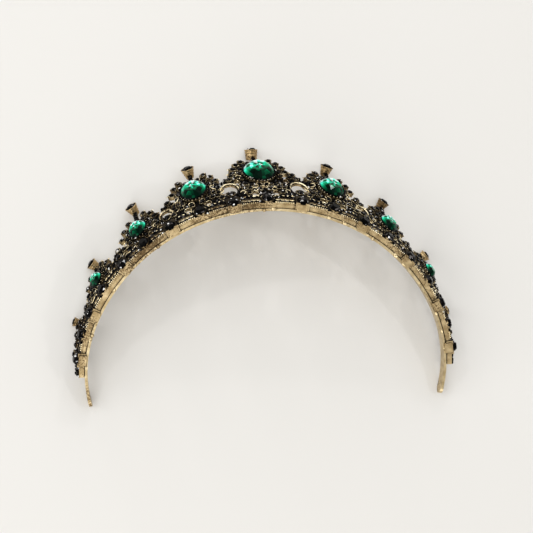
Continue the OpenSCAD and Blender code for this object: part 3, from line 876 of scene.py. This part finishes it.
# the finest black stones and grains of gold on the bare face; a pass is how far a shape may reach past it
pave = {
    "radii": (0.86, 0.72, 0.60, 0.50),       # of the stones, tried from the largest down
    "stonePass": 0.06,
    "height": 0.66,
    "growth": 0.4,                           # taller by this share of the radius over the smallest
    "sink": 0.12,
    "rows": ((0.72, 0.74, 1.74), (3.42, 0.70, 1.62)),    # height, radius and pitch of the rows along the band
    "rowPass": 0.12,
    "spin": 51.0,
    "grainRadius": 0.20,
    "grainPass": 0.1,
    "grainGap": 0.52,
    "grainOut": 0.05,
    "grainSizes": (0.85, 1.2),
    "seed": 7,
}


def filled(unit):
    # rows along the band first, then the largest stones that fit, raster by raster, then grains in the rest
    along, height, bare = bareFace(unit)
    rise = riseOf(unit)
    taken, chips, grains = [], [], []

    def fits(x, z, radius, gap):
        # the distance to every stone, up the leaning face, is more than both radii and the gap
        others = np.array(taken or [(math.inf, math.inf, 0.0)])
        distances = np.hypot(others[:, 0] - x, (others[:, 1] - z) / rise)
        return bool(np.all(distances > others[:, 2] + radius + gap))

    def tryPlaces(mask, radius, gap, found):
        # every place of the mask takes a stone where there is room left
        for row, column in zip(*np.nonzero(mask)):
            x, z = along[column], height[row]
            if fits(x, z, radius, gap):
                taken.append((x, z, radius))
                found.append((x, z, radius))

    for rowHeight, radius, pitch in pave["rows"]:
        level = int(round((rowHeight - plan["lowEdge"]) / cell))
        lastX = -math.inf
        for column in np.nonzero(shrunk(bare, radius - pave["rowPass"])[level])[0]:
            if along[column] - lastX >= pitch:
                lastX = along[column]
                taken.append((lastX, rowHeight, radius))
                chips.append((lastX, rowHeight, radius))
    for radius in pave["radii"]:
        tryPlaces(shrunk(bare, radius - pave["stonePass"]), radius, 0.0, chips)
    radius = pave["grainRadius"]
    tryPlaces(shrunk(bare, radius - pave["grainPass"]), radius, pave["grainGap"], grains)
    return np.array(chips), np.array(grains)


chipShape = chipCut()
grainShape = domeShape(6, 2)
chipParts, grainParts = [], []
paveDraws = np.random.default_rng(pave["seed"])
for unit in range(5):
    chips, grains = filled(unit)
    seats = onFace(unit, chips[:, 0], chips[:, 1], -pave["sink"])
    tallness = pave["height"] + pave["growth"] * (chips[:, 2] - pave["radii"][-1])
    sizes = np.stack([2 * chips[:, 2], 2 * chips[:, 2], tallness], -1)
    spins = paveDraws.uniform(0, pave["spin"], len(chips))
    chipParts.append(ofUnit(unit, stamped(chipShape, *seats, sizes, spins)))
    seats = onFace(unit, grains[:, 0], grains[:, 1], pave["grainOut"])
    sizes = grains[:, 2:] * paveDraws.uniform(*pave["grainSizes"], (len(grains), 1))
    grainParts.append(ofUnit(unit, stamped(grainShape, *seats, sizes)))
    print("unit", unit, "fine stones", len(chips), "grains", len(grains))
addPiece("fine_stones", joined(chipParts), jet)
addPiece("gold_grains", joined(grainParts), clawMetal, smooth=True)

# wires and beading along the band
wires = {
    "step": 0.35,
    "plainAt": 1.62,         # height of the plain wire under the rail
    "plainForm": (0.16, 0.20),   # how far out it lies, and its radius
    "waveAt": 4.85,          # height of the wavy wire at the top of the band
    "waveRise": 0.30,
    "waveLength": 3.9,
    "waveForm": (0.30, 0.27),
    "beadAt": -0.02,         # the beading along the lower edge
    "beadSize": (0.2945, 0.31, 0.31),
    "beadPitch": 0.76,
    "beadOut": 0.16,
    "faceOut": 3.9,          # of the band's middle, from the strip
    "stoneGap": 2.75,        # where they stop beside the stones on the band
    "jointGap": 2.85,
}


def spansOf(unit):
    # the two stretches of a casting between its blocks and its drop stone
    start = -plan["jointAt"][0] if unit == 0 else plan["jointAt"][unit - 1]
    middle, end = plan["unitAt"][unit], plan["jointAt"][unit]
    gap = wires["stoneGap"]
    return [(start + wires["jointGap"], middle - gap), (middle + gap, end - gap)]


def spanPath(unit, span, step):
    # lengths along the strip at about that step, and how far from the unit's axis onFace takes them
    lengths = np.linspace(*span, max(int((span[1] - span[0]) / step), 4))
    radius = arcRadii[int(arcOf(plan["unitAt"][unit]))]
    return lengths, (lengths - plan["unitAt"][unit]) * (radius + wires["faceOut"]) / radius


wireParts, beadParts = [], []
beadShape = domeShape(7, 3)
for unit in range(5):
    for span in spansOf(unit):
        lengths, x = spanPath(unit, span, wires["step"])
        wave = wires["waveAt"] + wires["waveRise"] * np.sin(2 * np.pi * lengths / wires["waveLength"])
        wireParts += [ofUnit(unit, faceWire(unit, (x, wires["plainAt"]), *wires["plainForm"])),
                      ofUnit(unit, faceWire(unit, (x, wave), *wires["waveForm"]))]
        seats = onFace(unit, np.arange(x[0], x[-1], wires["beadPitch"]), wires["beadAt"], wires["beadOut"])
        beadParts.append(ofUnit(unit, stamped(beadShape, *seats, wires["beadSize"])))
addPiece("band_beading", joined(beadParts), wireMetal, smooth=True)

# windows of each unit, right half: along, height, width, tallness, turn
windows = (
    ((4.1, 6.9, 2.3, 4.4, -10), (0, 12, 2.6, 2, 0), (2.9, 13.2, 1.5, 1.7, 0), (10, 16.6, 1.9, 3.2, 0)),
    ((4.1, 6.3, 2.2, 4, -12), (7.6, 15.2, 1.7, 2.2, 0), (10.4, 13.4, 1.5, 3, 0)),
    ((3.7, 6, 1.6, 2.8, -12), (7, 11.4, 1.9, 3.2, 0), (8.4, 6.3, 1.7, 2.2, 0)),
    (), (),
)
rims = {
    "radius": 0.18,
    "out": 0.14,
    "past": 0.5,             # wider than the window it goes round
    "dropSize": (5.5, 6.3),  # the arc over each drop stone
    "dropTurn": (12, 168),
    "dropRadius": 0.24,
    "dropOut": 0.30,
    "dropSteps": 24,
    "dropEnds": 0.35,
}
# the flat gold arch over each big window: the window's width, tallness and foot, then the arch itself
arches = {
    "windows": ((6.4, 8.8, 7.6), (4.6, 6.2, 7.6)),
    "past": 0.9,
    "turn": (-15, 195),
    "radius": 0.25,
    "thinnest": 0.45,
    "flatness": 1.9,
    "out": 0.40,
    "steps": 40,
}
ends = np.linspace(rims["dropEnds"], math.pi - rims["dropEnds"], rims["dropSteps"])
taper = rims["dropRadius"] * np.sin(ends) ** 0.5
for unit in range(5):
    for along, z, width, tall, turn in windows[unit]:
        for side in ((1, -1) if along else (1,)):
            x = leaning(unit, side * along, z)
            path = ovalPath(unit, x, z, width + rims["past"], tall + rims["past"], side * turn)
            wireParts.append(ofUnit(unit, faceWire(unit, path, rims["out"], rims["radius"], closed=True)))
    path = ovalPath(unit, 0.0, stones["dropAt"], *rims["dropSize"], 0, *rims["dropTurn"], rims["dropSteps"])
    wireParts.append(ofUnit(unit, faceWire(unit, path, rims["dropOut"], taper)))
thinnest, past, steps = arches["thinnest"], arches["past"], arches["steps"]
taper = arches["radius"] * (thinnest + (1 - thinnest) * np.sin(np.linspace(0, math.pi, steps)))
for joint, (width, tall, foot) in enumerate(arches["windows"]):
    path = ovalPath(joint, 0.0, foot + tall / 2, width + past, tall + past, 0, *arches["turn"], steps)
    wireParts.append(bothSides(faceWire(joint, path, arches["out"], taper, plan["jointAt"][joint],
                                        flatness=arches["flatness"])))

# scrolls, right half of each unit: centre along and up, first and last radius, first and last angle, wire
# radius
scrolls = (
    ((1.9, 13.9, 1.5, 0.5, 200, -60, 0.26), (9.4, 20.6, 2.0, 0.7, 250, 20, 0.26),
     (3.9, 9.4, 1.7, 0.6, 60, 330, 0.22), (9.2, 8.4, 1.6, 0.5, 240, -20, 0.24)),
    ((2.6, 9.6, 1.5, 0.5, 200, -60, 0.24), (11.2, 10.0, 1.6, 0.5, 80, 330, 0.24),
     (8.0, 17.6, 1.6, 0.5, 250, 20, 0.24)),
    ((2.0, 7.0, 1.2, 0.4, 200, -60, 0.22), (7.0, 8.6, 1.3, 0.4, 80, 330, 0.22)),
    ((3.0, 6.4, 1.1, 0.4, 200, -60, 0.20), (7.2, 5.9, 1.1, 0.4, 80, 330, 0.20)),
    ((4.3, 7.6, 1.1, 0.4, 80, 330, 0.20),),
)
scrollWay = {"steps": 28, "out": (0.62, -0.15), "thin": 0.35}     # out, and what is added to it by the end


def scrollWire(unit, side, x, z, first, last, fromAngle, toAngle, thick):
    # centre + radius (cos, sin), where the radius and the angle both change evenly along it
    t = np.linspace(0, 1, scrollWay["steps"])
    angles = np.radians(fromAngle + (toAngle - fromAngle) * t)
    radius = first + (last - first) * t
    across = leaning(unit, side * (x + radius * np.cos(angles)), z)
    up = z + radius * np.sin(angles) * riseOf(unit)
    out, rise = scrollWay["out"]
    return faceWire(unit, (across, up), out + rise * t, thick * (1 - scrollWay["thin"] * t))


for unit, table in enumerate(scrolls):
    wireParts += [ofUnit(unit, scrollWire(unit, side, *row)) for row in table for side in (1, -1)]
addPiece("gold_wires", joined(wireParts), wireMetal, smooth=True)
print("wires made")

# pointed leaf tips beyond the long stones of the outer rings
leaf = {"size": (0.575, 1.045, 0.55), "past": 0.1, "out": 0.35, "longOver": 2.5}


def leafShape(rings=5, sides=8, foot=0.35, swell=4, thick=0.5):
    # a teardrop: width falls with the root of what is left of the length, thickness with it; it swells from
    # its foot over the first part
    t = (np.arange(rings) / rings)[:, None]
    angles = 2 * np.pi * np.arange(sides) / sides
    width = np.sqrt(1 - t) * (foot + (1 - foot) * np.sqrt(np.minimum(t * swell, 1)))
    outline = np.stack([width * np.cos(angles), t + 0 * angles, thick * width * np.sin(angles)], -1)
    return lofted(outline, tip=(0.0, 1.0, 0.0))


leafParts = []
for unit in range(4):
    rows = unitStones(unit)
    rows = rows[rows[:, 3] > leaf["longOver"]]
    spin = np.radians(rows[:, 4])
    past = rows[:, 3] / 2 + leaf["past"]
    x = rows[:, 0] - np.sin(spin) * past
    z = rows[:, 1] + np.cos(spin) * past * riseOf(unit)
    leaves = stamped(leafShape(), *onFace(unit, x, z, leaf["out"]), leaf["size"], rows[:, 4])
    leafParts.append(ofUnit(unit, leaves))
addPiece("leaf_tips", joined(leafParts), wireMetal, smooth=True)

# fluted, ringed sleeves on the top collets
collet = {
    "length": 4.2,
    "mouth": 5.2,
    "ends": (0.05, 0.04),                  # short of the foot, past the mouth
    "steps": (22, 56),                     # along and round
    "rings": (-1.5, -0.3, 0.85, 1.95),     # levels of the raised rings, from the middle
    "ringHeight": 0.15,
    "ringWidth": 0.20,
    "flutes": 14,
    "fluteDepth": 0.06,
    "skin": 0.03,
    "rootIn": 0.12,
}


def sleeve(back):
    # outside: cone radius + skin + a bell at each ring - a cosine flute between the rings; then back down
    # inside the wall
    half = collet["length"] / 2
    levels = np.linspace(-half + collet["ends"][0], half + collet["ends"][1], collet["steps"][0])
    angles = 2 * np.pi * np.arange(collet["steps"][1]) / collet["steps"][1]
    cone = collet["mouth"] / 2 * (back + (1 - back) * (levels / collet["length"] + 0.5))
    bells = sum(np.exp(-((levels - at) / collet["ringWidth"]) ** 2) for at in collet["rings"])
    between = np.clip(1 - bells, 0, 1)[:, None]
    flute = collet["fluteDepth"] * between * (0.5 - 0.5 * np.cos(collet["flutes"] * angles))
    outer = (cone + collet["skin"] + collet["ringHeight"] * bells)[:, None] - flute * (between > 0.5)
    inner = np.repeat((cone - collet["rootIn"])[::-1, None], len(angles), 1)
    radius = np.concatenate([outer, inner])
    z = np.concatenate([levels, levels[::-1] - 0.02])[:, None] + 0 * angles
    points = np.stack([radius * np.cos(angles), radius * np.sin(angles), z], -1).reshape(-1, 3)
    return facingOut(points, wallFaces(*radius.shape, True))


sleeveParts = []
for unit in range(5):
    place, ways = colletSeat(unit)
    size = (stones["colletSize"][unit],) * 3
    part = stamped(sleeve(stones["colletBack"][unit]), place[None], ways[None], size)
    sleeveParts.append(ofUnit(unit, part))
addPiece("collet_sleeves", joined(sleeveParts), sleeveMetal, smooth=True)

# drops of solder where the castings meet the strip
solder = {
    "perSide": 11,
    "from": 4,
    "to": 100,
    "stray": 2.8,
    "out": 0.75,
    "heights": (-0.1, 0.15),
    "sizes": (0.55, 1.15),
    "form": (1.2, 0.85, 0.45),
    "seed": 11,
}


def lumpShape(rings=9, sides=14, start=0.18, swell=0.14, ripple=0.10):
    # a ball whose radius swells and shrinks by sines of its two angles
    fromTop, around = np.linspace(start, np.pi - start, rings), 2 * np.pi * np.arange(sides) / sides
    v, u = np.meshgrid(fromTop, around, indexing="ij")
    radius = 1 + swell * np.sin(3 * u + 1.0) * np.sin(v) + ripple * np.sin(2 * v + 2 * u)
    outline = radius[..., None] * np.stack([np.sin(v) * np.cos(u), np.sin(v) * np.sin(u), np.cos(v)], -1)
    return lofted(outline, foot=(0.0, 0.0, 1.0), tip=(0.0, 0.0, -1.0))


lumpParts = []
solderDraws = np.random.default_rng(solder["seed"])
count = solder["perSide"]
for side in (0, 1):
    lengths = np.linspace(solder["from"], solder["to"], count)
    lengths = lengths + solderDraws.uniform(-solder["stray"], solder["stray"], count)
    places, level, heading = onStrip(lengths, solder["out"], solderDraws.uniform(*solder["heights"], count))
    sizes = solderDraws.uniform(*solder["sizes"], (count, 1)) * np.array([solder["form"]])
    ways = np.stack([np.stack([np.cos(heading), np.sin(heading), 0 * heading], -1), level,
                     np.broadcast_to([0.0, 0.0, -1.0], level.shape)], 1)
    part = facingOut(*stamped(lumpShape(), places, ways, sizes))
    lumpParts.append(mirrored(part) if side else part)
addPiece("solder_lumps", joined(lumpParts), stripMetal, smooth=True)

# the underside of the band: fine raised lines along it, a plate under every stone on a joint, and a painted
# shadow in the seam: a dark tube laid in the gap
underside = {
    "lineOut": (-0.55, -1.75),      # distances from the face
    "lineRadius": 0.11,
    "lineStep": 0.8,
    "plateLong": 4.3,
    "plateWide": (2.7, 2.8, 3.0, 3.4, 3.4),
    "plateThick": (0.5, 0.5, 0.7, 1.0, 1.0),
    "plateOut": -1.0,
    "plateAt": -0.8,                # height of the joint blocks' own underside
    "seamAt": 1.16,                 # from the strip's inner face to the seam beside the castings
    "seamRadius": 0.07,
    "seamFlatness": 0.30 / 0.14,
    "seamLow": 0.02,                # over the lower edge, and short of the castings' end
    "seamShort": 0.4,
    "seamSteps": 150,
}


def plateShape(count=24, corner=0.35, edge=0.22, top=0.88):
    # a rounded rectangle, one unit each way, lofted through three levels with a chamfer on the outer ones
    angles = 2 * np.pi * (np.arange(count) + 0.5) / count
    flat = np.stack([np.cos(angles), np.sin(angles)], -1)
    outline = np.sign(flat) * np.abs(flat) ** corner / 2
    return lofted(np.stack([np.concatenate([outline * share, np.full((count, 1), z)], 1)
                            for share, z in ((1, -0.5), (1, edge), (top, 0.5))]))


def levelOut(ways):
    # the outward way made level: across the way along, on the side of the face
    level = np.cross([0.0, 0.0, 1.0], ways[..., 0, :])
    return level * np.sign(np.sum(level * ways[..., 2, :], -1, keepdims=True))


plateParts, lineParts = [], []
for unit in range(5):
    place, ways = onFace(unit, 0.0, underside["plateAt"], 0.0, length=plan["jointAt"][unit])
    level = levelOut(ways)
    place = place + level * underside["plateOut"]
    size = (underside["plateLong"], underside["plateWide"][unit], underside["plateThick"][unit])
    part = stamped(plateShape(), place[None], np.stack([ways[0], level, [0.0, 0.0, -1.0]])[None], size)
    plateParts.append(bothSides(facingOut(*part)))
    for span in spansOf(unit):
        places, ways = onFace(unit, spanPath(unit, span, underside["lineStep"])[1], plan["lowEdge"])
        level = levelOut(ways)
        lineParts += [ofUnit(unit, tube(places + level * out, level, underside["lineRadius"], sides=6))
                      for out in underside["lineOut"]]
# the painted shadow in the gap between the strip and the castings
seamLengths = np.linspace(0, plan["castingEnd"] - underside["seamShort"], underside["seamSteps"])
seamPath = onStrip(seamLengths, underside["seamAt"], plan["lowEdge"] + underside["seamLow"])[0]
seam = tube(seamPath, np.broadcast_to([0.0, 0.0, -1.0], seamPath.shape), underside["seamRadius"],
            flatness=underside["seamFlatness"], sides=6)
addPiece("strip_seam_painted_shadow", bothSides(seam), seamShadowPaint, smooth=True)
addPiece("underside_plates", joined(plateParts), castMetal)
addPiece("underside_lines", joined(lineParts), castMetal, smooth=True)

# a close ring of small stones on the rim of every green stone's setting, with grains between and outside them
halo = {
    "size": (1.15, 1.15, 0.62),
    "pitch": 1.32,
    "out": 1.42,
    "past": 0.34,
    "grain": (0.2, 0.2, 0.2),
    "grainPast": 0.28,
}


def haloRing(unit, shape, size, shift, past):
    # stones at even lengths along an oval round the green stone, turned to face outwards
    place, ways = axisSeat(unit, stones["greenAt"][unit])
    width, tall = (stones[key][unit] / 2 + halo["past"] for key in ("greenWidth", "greenHeight"))
    fine = np.linspace(0, 2 * np.pi, 721)
    steps = np.diff(np.stack([width * np.sin(fine), tall * np.cos(fine)], -1), axis=0)
    gone = np.concatenate([[0], np.cumsum(np.linalg.norm(steps, axis=1))])
    count = int(gone[-1] / halo["pitch"])
    turn = np.interp((np.arange(count) + shift) / count * gone[-1], gone, fine)
    u, v = (width + past) * np.sin(turn), (tall + past) * np.cos(turn)
    u, v = turned(u[:, None], v[:, None], unitTurn(unit))
    spots = place + u * ways[0] + v * ways[1] + halo["out"] * ways[2]
    return ofUnit(unit, stamped(shape, spots, np.broadcast_to(ways, (count, 3, 3)), size, np.degrees(-turn)))


haloParts = [haloRing(unit, chipShape, halo["size"], 0.0, 0.0) for unit in range(4)]
haloGrains = [haloRing(unit, grainShape, halo["grain"], 0.5, halo["grainPast"]) for unit in range(4)]
addPiece("halo_stones", joined(haloParts), jet)
addPiece("halo_grains", joined(haloGrains), wireMetal, smooth=True)
print("trim made")

# floor and light
floorLook = {
    "half": 3.0,
    "cloudScale": 3.0,
    "grey": (0.665, 0.655, 0.63),
    "pale": (0.71, 0.70, 0.68),
    "rough": 0.9,
}


def floorMaterial(look):
    # two pale greys mixed by one broad noise
    material, tree, shader = newMaterial("paleFloor")
    cloud = noiseNode(tree, coordinatesOf(tree), look["cloudScale"], 2.0)
    feed(tree, shader, {"Base Color": mixColours(tree, cloud, look["grey"], look["pale"]),
                        "Roughness": look["rough"]})
    return material


h = floorLook["half"]
floorMesh = bpy.data.meshes.new("floor")
floorMesh.from_pydata([(-h, -h, 0), (h, -h, 0), (h, h, 0), (-h, h, 0)], [], [(0, 1, 2, 3)])
floorMesh.materials.append(floorMaterial(floorLook))
floor = bpy.data.objects.new("floor", floorMesh)
bpy.context.scene.collection.objects.link(floor)

lamps = {  # place, size and strength in watts
    "key": ((-0.35, -0.75, 0.65), 0.95, 1.4),
    "top": ((0.45, 0.30, 1.00), 1.20, 3.2),
    "side": ((0.85, -0.10, 0.45), 0.45, 1.2),
    "front": ((-0.15, -0.95, 0.20), 0.50, 1.3),
    "back": ((0.15, 0.95, 0.32), 0.90, 4.0),
    "sparkLeft": ((-0.62, 0.12, 0.72), 0.05, 0.55),
    "sparkRight": ((0.45, -0.50, 0.78), 0.05, 0.55),
    "sparkTop": ((0.02, 0.20, 0.95), 0.05, 0.55),
    "sparkFront": ((-0.20, -0.80, 0.45), 0.05, 0.55),
    "sparkLow": ((0.35, -0.85, 0.15), 0.05, 0.55),
}
aim = Vector((0.0, 0.0, 0.02))
room = {"Color": (1.0, 0.98, 0.95), "Strength": 0.50}
for name, (place, size, strength) in lamps.items():
    data = bpy.data.lights.new(name, "AREA")
    data.size = size
    data.energy = strength
    lamp = bpy.data.objects.new(name, data)
    lamp.location = place
    lamp.rotation_euler = (aim - Vector(place)).to_track_quat("-Z", "Y").to_euler()
    bpy.context.scene.collection.objects.link(lamp)
world = bpy.data.worlds.new("softRoom")
world.use_nodes = True
feed(world.node_tree, world.node_tree.nodes["Background"], room)
bpy.context.scene.world = world
